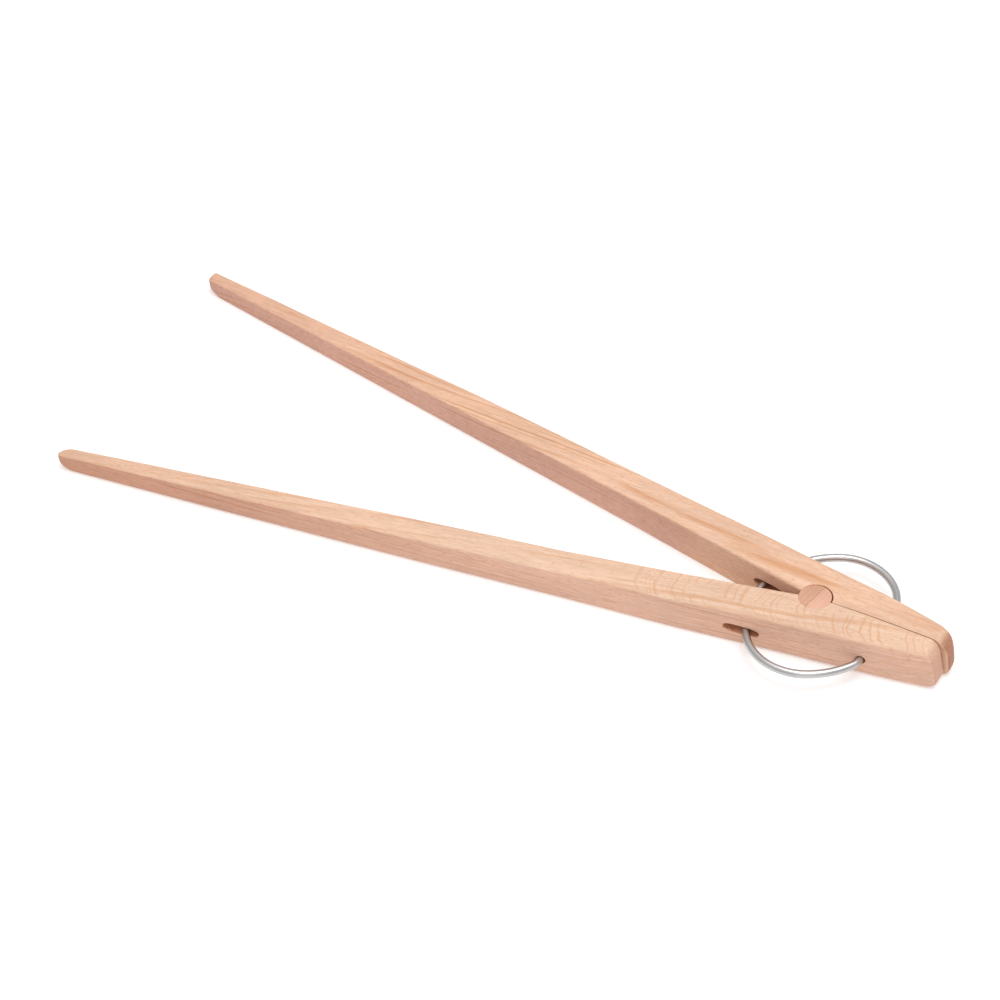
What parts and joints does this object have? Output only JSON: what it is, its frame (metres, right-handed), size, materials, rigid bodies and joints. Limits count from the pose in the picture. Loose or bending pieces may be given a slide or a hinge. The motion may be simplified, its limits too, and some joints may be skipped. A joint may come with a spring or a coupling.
{
  "type": "print tongs",
  "caption": "Long wooden tongs whose tapered arms rock on a dowel near the tail and are held open by a bent spring wire, for lifting prints out of darkroom trays.",
  "frame": {"origin": "on the dowel's axis, at the underside of the tongs", "axes": "+X from the dowel to the tail, with the jaws at -X; +Y from the near arm to the far arm; +Z along the dowel, upwards as the tongs lie on a table"},
  "size_m": [0.3374, 0.1149, 0.017],
  "materials": {
    "beech": "fine sanded, unvarnished",
    "beech_end_grain": "sawn end grain, sanded flush",
    "spring_steel": "drawn bright, satin"
  },
  "bodies": {
    "near_arm": {"near_arm": "beech", "pivot_dowel": "beech_end_grain"},
    "far_arm": {"far_arm": "beech"},
    "spring": {"spring_wire": "spring_steel"}
  },
  "joints": [
    {"name": "arms_hinge", "type": "hinge", "parent": "near_arm", "child": "far_arm", "pos_m": [0, 0, 0], "axis": [0, 0, 1], "range_deg": [0, 20.85], "stiffness_Nm_per_rad": 2, "springref_deg": -5.73, "deforming": ["spring_wire"]},
    {"name": "spring_follow", "type": "hinge", "parent": "near_arm", "child": "spring", "pos_m": [0, 0, 0], "axis": [0, 0, 1], "range_deg": [0, 10.43]}
  ],
  "couplings": [
    {"joint": "spring_follow", "follows": "arms_hinge", "ratio": 0.5}
  ]
}
